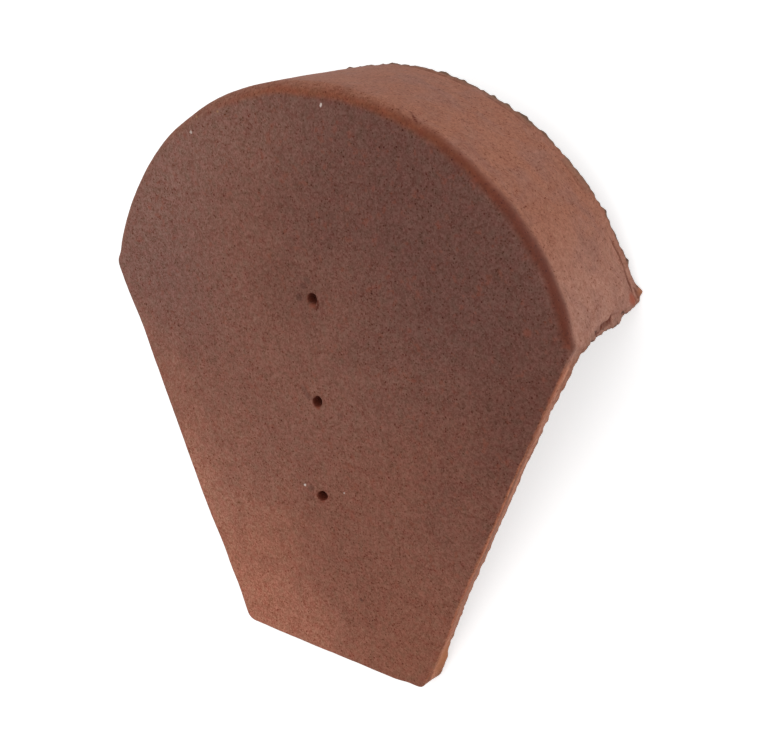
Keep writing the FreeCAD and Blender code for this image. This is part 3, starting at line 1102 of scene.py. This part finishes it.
# Spots on the clay, by colour and in the order in which they are laid on: centre and size each way, in
# millimetres of the upright frame, turn in the face, and strength.
MARKS = {
    "soot_and_shade": [
        ((-4.3, 0, 41.4), (2.8, 4, 2.2), 0.3, 0.46),
        ((-6.6, 0, 36.2), (2.8, 4, 2.6), 0.6, 0.50),
        ((-2, 0, 44), (3.4, 4, 2.4), 0.1, 0.38),
        ((-4.9, 0, -8.7), (2.6, 4, 2.4), 0.2, 0.40),
        ((-7, 0, -5.9), (2.4, 4, 2.6), 0.4, 0.30),
        ((-2.4, 0, -9.6), (1.4, 4, 1.4), 0, 0.40),
        ((-6.2, 0, -54.1), (2.4, 4, 2.6), 0.4, 0.34),
        ((-5.9, 0, -58.7), (2.2, 4, 2), 0, 0.26),
        ((12.5, 0, -14), (3, 3, 1.6), 0.3, 0.25),
        ((19.6, 0, -104.3), (1.6, 2, 1.2), 0.5, 0.5),
        ((-13, 0, 37), (28, 6, 22), 0.2, 0.15),
    ],
    "rust_and_shade": [
        ((1.3, 0, 33.2), (1.5, 2, 2.2), 0.1, 0.55),
        ((3.2, 0, 35.8), (0.9, 2, 1.2), 0, 0.95),
        ((3.3, 0, 34.5), (1, 2, 1.2), 0.1, 1),
        ((2.8, 0, 33.3), (1, 2, 1.2), 0.4, 1),
        ((2, 0, 32.3), (1, 2, 1.1), 0.8, 1),
        ((0.2, 0, -13), (2.2, 2, 1), 0, 0.55),
        # a scratch over the nose
        *(((47.2 + 0.8 * k, 6.2 - 0.6 * k, 115.9 - 0.4 * k), (0.9, 1, 0.9), 0.4, 0.6 if k < 3 else 0.95)
          for k in range(10)),
    ],
    "straw": [
        ((-45, 0.5, 110.5), (1.1, 2, 0.8), 0.3, 0.5),
        ((-57.5, 0.5, 107.4), (0.9, 2, 0.7), 0, 0.5),
    ],
    "lime": [
        ((-61.3, 0, 100.8), (0.8, 2, 0.8), 0, 0.7),
        ((9.8, 0, 116.7), (0.8, 1.5, 0.9), 0, 1),
        ((-9.7, 0, -53.5), (0.8, 1.5, 1), 0.4, 1),
        ((12.5, 0, -51.3), (0.6, 1.5, 0.6), 0, 0.9),
    ],
    "ember": [
        ((-92, 0, 64.5), (1.8, 2, 1.2), 0.4, 0.5),
        ((-84, 0, 65), (1.5, 2, 1), 0, 0.4),
        ((101.2, 0, 40.3), (2.6, 2, 2.4), 0.2, 0.35),
        ((118.4, 56, 40.3), (3, 4.2, 3.6), 0, 0.85),
    ],
    "apricot_and_highlight": [
        ((58.5, 6.5, -122), (7, 5.5, 16), 0.35, 0.8),
        # a painted highlight on the knob at the right end of the hood
        ((119.4, 62, 42), (2.6, 2.8, 3), 0, 0.5),
    ],
}
# Reddish lips under the nail holes, laid on last: painted light on the lower walls of the holes' mouths,
# where the light from above falls.
LIP_MARKS = [
    ((-0.3, 1.4, 33.2), (2.8, 2.6, 1.7), 0, 0.50),
    ((0.3, 1.5, -13), (2.2, 3, 1.6), 0, 0.55),
    ((0.2, 1.5, -59), (2.2, 3, 1.4), 0, 0.35),
]


def kiln_clouds(n, colours, soft):
    """The face: dark to the upper right, warm to the lower left, rosy to the upper left.

    How clear the fire was is a step of -x / 0.30 - z / 0.36 and noise. Broad single clouds lie over that.
    """
    drift = n.plus(n.times(n.x, -1 / 0.30), n.times(n.z, -1 / 0.36), n.sway(n.noise(45), 0.25),
                   n.sway(soft, 0.20))
    fire = n.plus(n.times(n.band(drift, -0.40, 0.10), 0.32), n.times(n.band(drift, 0.16, 0.60), 0.68))
    face = n.laid(rgb(colours.dark), colours.warm, fire)
    face = n.laid(face, colours.rosy, n.span(n.x, -20, -95), n.span(n.z, -30, 40), 0.70)
    face = n.laid(face, colours.glow, n.span(n.over, -50, -3), n.span(n.x, 50, -50), n.span(n.z, 10, 70), 0.5)
    face = n.laid(face, colours.side, n.span(n.z, -60, -135), n.span(n.x, -10, 50), 0.30)
    lower_right = n.span(n.plus(n.z, n.times(n.x, -0.75)), -20, -70)
    face = n.mix(lower_right, face, rgb(colours.redder), "MULTIPLY")
    return n.laid(face, colours.hearth, n.span(n.z, -82, -124), n.span(n.x, 25, -25), 0.32)


def outside_clay(n, colours, streak):
    """The paler outside: the hood, its paler end with a painted sheen and its blooms above, the cut sides
    with streaks below.
    """
    side = n.laid(rgb(colours.side), colours.fresh, n.span(n.y, 1.5, 4.5))
    outside = n.mix(n.below, rgb(colours.hood), side)
    above = n.flip(n.below)
    # paler, pinker clay towards the hood's right end, and a painted sheen along the nose there
    outside = n.laid(outside, colours.flush, n.span(n.x, 95, 121), above, 0.80)
    outside = n.laid(outside, colours.lilac, n.band(n.noise(19, 4.0, 0.6, 0.8), 0.42, 0.72), above, 0.60)
    lengthwise = n.plus(1.0, n.sway(streak, n.below, 1.8))
    return n.add("VectorMath", {0: outside, "Scale": lengthwise}, operation="SCALE").outputs[0]


def nose_bands(n, soft):
    """Where the hood's and the cut sides' clay begin, and how strongly the nose is rubbed.

    They are steps of the way across the nose, strayed by noise. The band of rubbed skin lies further back on
    the dark side.
    """
    late = n.times(n.span(n.x, 0, 125), n.span(n.z, 34, 52, 0.25, 1.0), 5.7 * MM)
    stray = n.sway(soft, 3.0 * MM)
    strayed = n.plus(n.over, stray, n.times(late, -1.0))
    onto_side = n.span(n.plus(n.over, n.sway(n.noise(4), 1.2 * MM)), 0.3, 1.3)
    rubbed = n.times(n.span(n.plus(n.over, stray, n.times(late, -0.5)), -1.5, 2), n.span(strayed, 5.5, 0.5),
                     n.span(n.z, 33, 39), n.span(n.x, -72, -8))
    return n.span(strayed, -1, 6), onto_side, rubbed


def iron_specks(n, calm):
    """Dark specks in loose clusters: round those of many scattered points whose lot is under the crowd's.

    The other two lots set a speck's size and strength.
    """
    crowd = n.band(n.noise(5), 0.35, 0.65, 0.18, 0.80)
    distance, lot = n.dots(1.0)
    reach = n.band(lot[0], 0.0, 1.0, 0.16, 0.44)
    speck = n.band(n.math("SUBTRACT", reach, distance), -0.06, 0.12)
    drawn = n.math("LESS_THAN", lot[1], n.times(crowd, calm))
    return n.times(speck, drawn, n.band(lot[2], 0.0, 1.0, 0.5, 1.0))


def grain_tint(n, colours, cloud, lumpy, calm, speck):
    """What the clay's colour is multiplied by: one, and a swing that is strongest in the darker channels.

    The swing is soft cloudiness, sandy grain and specks. Patches lean to red or green, least outside.
    """
    sand = n.plus(n.times(n.dots(0.66)[1][2], 0.40), n.times(lumpy, 0.60))
    swing = n.plus(n.sway(cloud, 0.55 * colours.mottle), n.sway(sand, calm, 1.1 * colours.grain),
                   n.times(speck, -colours.speckle))
    patches = n.noise(3.8, 2.0, 0.6, at=n.vector("ADD", n.place, (0.19, 0.41, 0.07)))
    hue = n.sway(patches, n.span(n.over, 0, 8, 1.0, 0.3))
    hue = n.vector("MULTIPLY_ADD", hue, (0.24, -0.24, -0.12), (1.0, 1.0, 1.0))
    tint = n.vector("MULTIPLY_ADD", swing, (0.76, 1.10, 1.30), hue)
    return n.vector("MAXIMUM", tint, (0.03, 0.03, 0.03))


def edge_marks(n, colours, base):
    """The base with the torn back edge and painted shade along it: in its notches, at the crown's rim, in and
    beside the scored line and in the cracks. Also how strongly the line shows.
    """
    # greenish grey of the torn edge, reaching further in towards the crown, where it is also painted shade of
    # the rim's rounding and burr
    fringe = n.plus(n.times(n.gap, n.span(n.z, 60, 115, 1.0, 0.42)), n.sway(n.noise(1.4), 1.5 * MM))
    base = n.laid(base, colours.ash_and_shade, n.span(fringe, 1.8, 0.4), n.flip(n.hidden),
                  n.span(n.z, 44, 52, 0.25, 1.0), 0.74)
    # painted shade in small notches along the back edge
    notch_shade = n.band(n.noise(2.1, 1.0), 0.57, 0.66)
    base = n.laid(base, colours.soot_and_shade, notch_shade, n.span(n.gap, 1.9, 0.8), 0.75)
    # painted shade in the scored line: dark red along the groove, where shade falls in it
    strayed = n.math("ABSOLUTE", n.plus(n.scored, n.sway(n.noise(2.5), 0.9 * MM)))
    line = n.times(n.span(strayed, 0.15, 1, 1.0, 0.0), n.band(n.noise(5), 0.35, 0.60, 0.35, 1.0),
                   n.span(n.z, 72, 46, 0.6, 1.0))
    base = n.laid(base, colours.rust_and_shade, line, 0.75)
    # painted shadow of the scored line and the rim: a darker band between the line and the outline near the
    # crown
    base = n.laid(base, colours.ash_and_shade, n.span(n.scored, 0.3, -1.5), n.span(n.z, 60, 90), 0.28)
    # painted shade in the cracks: dark red where shade falls in the crevices
    crack = n.band(n.crack, 0.38, 0.82)
    base = n.laid(base, colours.rust_and_shade, crack, n.band(n.noise(2.2), 0.35, 0.6, 0.55, 0.95))
    return base, line


def fired_clay(colours):
    """The clay's material: kiln clouds, the rubbed nose, specks, the torn edge and single marks.

    Every pattern is worked out from the upright place, so it has its real size on every side. The mesh
    carries lengths for it: over, the way across the nose from the face; gap, the way to the back edge; and
    scored, the way to the scored line. Hidden, bore and crack mark the inside, the nail holes and the cracks.
    """
    material = bpy.data.materials.new("fired clay")
    n = ClayNodes(material)
    soft = n.noise(14, 3.0)
    streak = n.noise(2.6, 2.0, 0.6, at=n.vector("MULTIPLY", n.place, (0.0, 1.0, 0.055)))
    onto_hood, onto_side, rubbed = nose_bands(n, soft)
    outward = n.add("Mix", {0: n.below, 2: onto_hood, 3: onto_side}).outputs[0]
    base = n.mix(outward, kiln_clouds(n, colours, soft), outside_clay(n, colours, streak))
    skin = n.laid(rgb(colours.red), colours.shadow_red, n.span(n.x, -10, 110))
    base = n.mix(n.times(rubbed, 0.92), base, skin)
    base = n.laid(base, colours.inside, n.hidden)

    # the grain, dense on the face, calmer outside and calmest on the rubbed skin
    cloud = n.plus(n.times(n.noise(9, 3.0, 0.6), 0.55), n.times(n.noise(3), 0.45))
    lumpy = n.noise(1.7, 2.0, 0.65)
    calm = n.plus(1.0, n.times(n.span(n.over, 2, 8), -0.35), n.times(rubbed, -0.35))
    speck = iron_specks(n, calm)
    base = n.mix(1.0, base, grain_tint(n, colours, cloud, lumpy, calm, speck), "MULTIPLY")
    ember = n.band(n.noise(3.4, at=n.vector("ADD", n.place, (0.37, 0.11, 0.23))), 0.58, 0.74)
    base = n.laid(base, colours.ember, ember, n.span(n.over, 0, 8, 0.28, 0.10))

    # the torn edge and the scored line with painted shade, then single marks with frayed outlines, and the
    # nail holes
    base, line = edge_marks(n, colours, base)
    fray = n.add("TexNoise", {"Vector": n.place, "Scale": 900.0, "Detail": 1.0}).outputs["Color"]
    frayed = n.vector("MULTIPLY_ADD", fray, (1.1 * MM,) * 3, n.place)
    frayed = n.vector("ADD", frayed, (-0.55 * MM,) * 3)
    for tone, marks in MARKS.items():
        base = n.laid(base, getattr(colours, tone), n.marks(frayed, marks))
    # the nail holes' bores: red clay, darkened as painted shade
    base = n.laid(base, colours.bore, n.bore, 0.95)
    # painted light on the lit lower walls of the nail holes
    base = n.laid(base, colours.ember, n.marks(frayed, LIP_MARKS))

    # dry, slightly sanded surface, smoother on the nose, with drag lines along the cut sides
    rough = n.plus(colours.roughness, n.times(rubbed, -0.10), n.sway(cloud, 0.2))
    height = n.plus(n.times(lumpy, calm, 0.8), n.times(n.noise(3.2), 0.5), n.times(speck, -0.3),
                    n.sway(streak, onto_side, n.below, 1.2), n.times(line, -0.5))
    bump = n.add("Bump", {"Height": height, "Strength": 0.35, "Distance": 0.35 * MM}).outputs[0]
    n.surface(n.add("BsdfPrincipled", {"Base Color": base, "Roughness": rough, "Normal": bump,
                                       "Specular IOR Level": 0.25}))
    return material


# -------------------------------------------------------------------------------------------- new objects

def placed(name, data, place=Matrix()):
    """A new object of the scene, with its data and its place."""
    thing = bpy.data.objects.new(name, data)
    thing.matrix_world = place
    bpy.context.scene.collection.objects.link(thing)
    return thing


def make_object(name, points, faces, material, values=None):
    """A smooth-shaded mesh object from points and triangles, with a float attribute for each value."""
    mesh = bpy.data.meshes.new(name)
    mesh.vertices.add(len(points))
    mesh.vertices.foreach_set("co", points.astype(np.float32).ravel())
    mesh.loops.add(faces.size)
    mesh.loops.foreach_set("vertex_index", faces.astype(np.int32).ravel())
    mesh.polygons.add(len(faces))
    mesh.polygons.foreach_set("loop_start", np.arange(0, faces.size, 3, dtype=np.int32))
    mesh.polygons.foreach_set("use_smooth", np.ones(len(faces), bool))
    for key, value in (values or {}).items():
        mesh.attributes.new(key, "FLOAT", "POINT").data.foreach_set("value", value.astype(np.float32))
    mesh.update(calc_edges=True)
    mesh.validate()
    mesh.materials.append(material)
    return placed(name, mesh)


# ------------------------------------------------------------------------------------------------- studio

class Studio(bpy.types.PropertyGroup):
    """The floor, the lamps and the camera."""

    floor: colour("Floor", "Pale floor", (0.86, 0.86, 0.86))
    floor_lift: share("Floor lift", "Light that the floor adds for the camera alone", 0.58)
    sky: share("Sky", "Strength of the even light all round", 0.55, 10.0)
    key: share("Key lamp", "Power of the large lamp, in watts", 15.0, 1000.0)
    fill: share("Fill lamp", "Power of the soft fill lamp, in watts", 5.0, 1000.0)
    azimuth: degrees("Camera azimuth", "Turn of the camera round the tile", 104.71680)
    elevation: degrees("Camera elevation", "Height of the camera over the floor", 55.77349)
    roll: degrees("Camera roll", "Turn of the camera round its own axis", -94.00249)
    distance: length("Camera distance", "From the camera to the point that it looks at", 0.482882, 0.05, 10)
    lens: FloatProperty(name="Lens", description="Focal length in millimetres", default=53.44198, min=10)
    aim: FloatVectorProperty(name="Aim", description="Point that the camera looks at", size=3,
                             default=(0.021785, 0.002918, 0.034706), subtype="XYZ", unit="LENGTH")


def camera_axes(studio):
    """Right, up and back of the camera: round the floor's z by the azimuth, up by the elevation, rolled."""
    a, e, r = studio.azimuth, studio.elevation, studio.roll
    back = Vector((math.sin(a) * math.cos(e), -math.cos(a) * math.cos(e), math.sin(e)))
    right = Vector((0, 0, 1)).cross(back).normalized()
    up = back.cross(right)
    return right * math.cos(r) + up * math.sin(r), up * math.cos(r) - right * math.sin(r), back


def add_camera(studio):
    """The camera, at its distance along its back axis from the point that it looks at."""
    data = bpy.data.cameras.new("camera")
    data.lens, data.sensor_width, data.clip_start = studio.lens, 36.0, 0.01
    right, up, back = camera_axes(studio)
    turn = Matrix((right, up, back)).transposed().to_4x4()
    place = Matrix.Translation(Vector(studio.aim) + back * studio.distance) @ turn
    bpy.context.scene.camera = placed("camera", data, place)


def add_lamp(name, studio, direction, distance, size, power):
    """A square lamp, placed from the tile along a direction in the camera's right, up and back."""
    axes = camera_axes(studio)
    out = sum((axis * amount for axis, amount in zip(axes, direction)), Vector()).normalized()
    data = bpy.data.lights.new(name, "AREA")
    data.energy, data.size = power, size
    turn = out.to_track_quat("Z", "Y").to_matrix().to_4x4()
    placed(name, data, Matrix.Translation(Vector(studio.aim) + out * distance) @ turn)


def add_sky(studio):
    """Even light all round. Seen directly or mirrored, it is white."""
    world = bpy.data.worlds.new("studio")
    n = Nodes(world)
    strength = n.plus(n.times(n.seen(), 1.0 - studio.sky), studio.sky)
    n.surface(n.add("Background", {"Color": WHITE, "Strength": strength}), "OutputWorld")
    bpy.context.scene.world = world


def floor_paper(studio):
    """Matt pale paper. It looks a little brighter than it is, and its shadows stay."""
    material = bpy.data.materials.new("pale paper")
    n = Nodes(material)
    tone = n.band(n.noise(500, at=n.add("TexCoord").outputs["Object"]), 0.3, 0.7, 0.985, 1.0)
    tint = n.add("CombineColor", {0: tone, 1: tone, 2: tone}).outputs[0]
    paper = n.add("BsdfDiffuse", {"Color": n.mix(1.0, rgb(studio.floor), tint, "MULTIPLY")})
    lift = n.add("Emission", {"Color": WHITE, "Strength": n.times(n.seen(), studio.floor_lift)})
    n.surface(n.add("AddShader", {0: paper.outputs[0], 1: lift.outputs[0]}))
    return material


def add_floor(studio):
    """A round floor: radius times (sin a, cos a) on a grid of turns and radii, all at height 0."""
    radius, turns, rings = 4.0, 96, 12
    angle = np.arange(turns) * 2 * math.pi / turns
    reach = radius * np.linspace(0, 1, rings + 1)[1:]
    disc = (reach[:, None, None] * polar(angle)[None]).reshape(-1, 2)
    points = np.concatenate([np.zeros((1, 3)), np.c_[disc, np.zeros(len(disc))]])
    ring = 1 + np.arange(turns)
    fan = np.stack([np.zeros(turns, int), np.roll(ring, -1), ring], -1)
    near = (1 + np.arange((rings - 1) * turns)).reshape(-1, turns)
    after = np.roll(near, -1, axis=1)
    quads = np.stack([near, after, after + turns, near + turns], -1).reshape(-1, 4)
    faces = np.concatenate([fan, quads[:, [0, 1, 2]], quads[:, [0, 2, 3]]])
    floor = make_object("studio_floor", points, faces, floor_paper(studio))


# ---------------------------------------------------------------------------------------------- operators

class RIDGE_TILE_OT_tile(bpy.types.Operator):
    """Makes the clay tile: plate, hood, worked-in root and heels, nail holes and the marks of its making"""
    bl_idname = "ridge_tile.make_tile"
    bl_label = "Make the clay tile"
    bl_options = {"REGISTER", "UNDO"}

    def execute(self, context):
        scene = context.scene
        form = TileForm(scene.ridge_tile_sizes)
        points, faces, values = tile_skin(form, scene.ridge_tile_wear)
        turn, move = laid_down()
        clay = fired_clay(scene.ridge_tile_clay)
        tile = make_object("clay_tile", rested(points @ turn.T + move), faces, clay, values)
        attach(tile, BODY)
        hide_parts(NODE)
        return {"FINISHED"}


class RIDGE_TILE_OT_studio(bpy.types.Operator):
    """Makes the floor, the lamps, the sky and the camera"""
    bl_idname = "ridge_tile.make_studio"
    bl_label = "Make the studio"
    bl_options = {"REGISTER", "UNDO"}

    def execute(self, context):
        studio = context.scene.ridge_tile_studio
        context.scene.view_settings.view_transform = "Standard"
        add_floor(studio)
        add_sky(studio)
        add_lamp("key lamp", studio, direction=(0.85, 0.40, 0.45), distance=1.3, size=0.9, power=studio.key)
        add_lamp("fill lamp", studio, direction=(-0.6, 0.1, 0.9), distance=1.6, size=1.2, power=studio.fill)
        add_camera(studio)
        return {"FINISHED"}


class RIDGE_TILE_PT_sidebar(bpy.types.Panel):
    """Lists the operators and the settings they use"""
    bl_idname = "RIDGE_TILE_PT_sidebar"
    bl_label = "Ridge Tile"
    bl_space_type = "VIEW_3D"
    bl_region_type = "UI"
    bl_category = "Ridge Tile"

    def draw(self, context):
        column = self.layout.column()
        for operator in OPERATORS:
            column.operator(operator.bl_idname)
        for name, group in GROUPS.items():
            box = self.layout.box()
            box.label(text=group.__doc__.rstrip("."))
            for field in group.__annotations__:
                box.prop(getattr(context.scene, name), field)


GROUPS = {
    "ridge_tile_sizes": TileSizes,
    "ridge_tile_wear": Wear,
    "ridge_tile_clay": ClayColours,
    "ridge_tile_studio": Studio,
}
OPERATORS = (RIDGE_TILE_OT_tile, RIDGE_TILE_OT_studio)


def register():
    for kind in (*GROUPS.values(), *OPERATORS, RIDGE_TILE_PT_sidebar):
        bpy.utils.register_class(kind)
    for name, group in GROUPS.items():
        setattr(bpy.types.Scene, name, PointerProperty(type=group))


def unregister():
    for name in GROUPS:
        delattr(bpy.types.Scene, name)
    for kind in reversed((*GROUPS.values(), *OPERATORS, RIDGE_TILE_PT_sidebar)):
        bpy.utils.unregister_class(kind)


def main():
    """Registers everything, makes the tile and then the studio."""
    register()
    bpy.ops.ridge_tile.make_tile()
    bpy.ops.ridge_tile.make_studio()


if __name__ == "__main__":
    main()
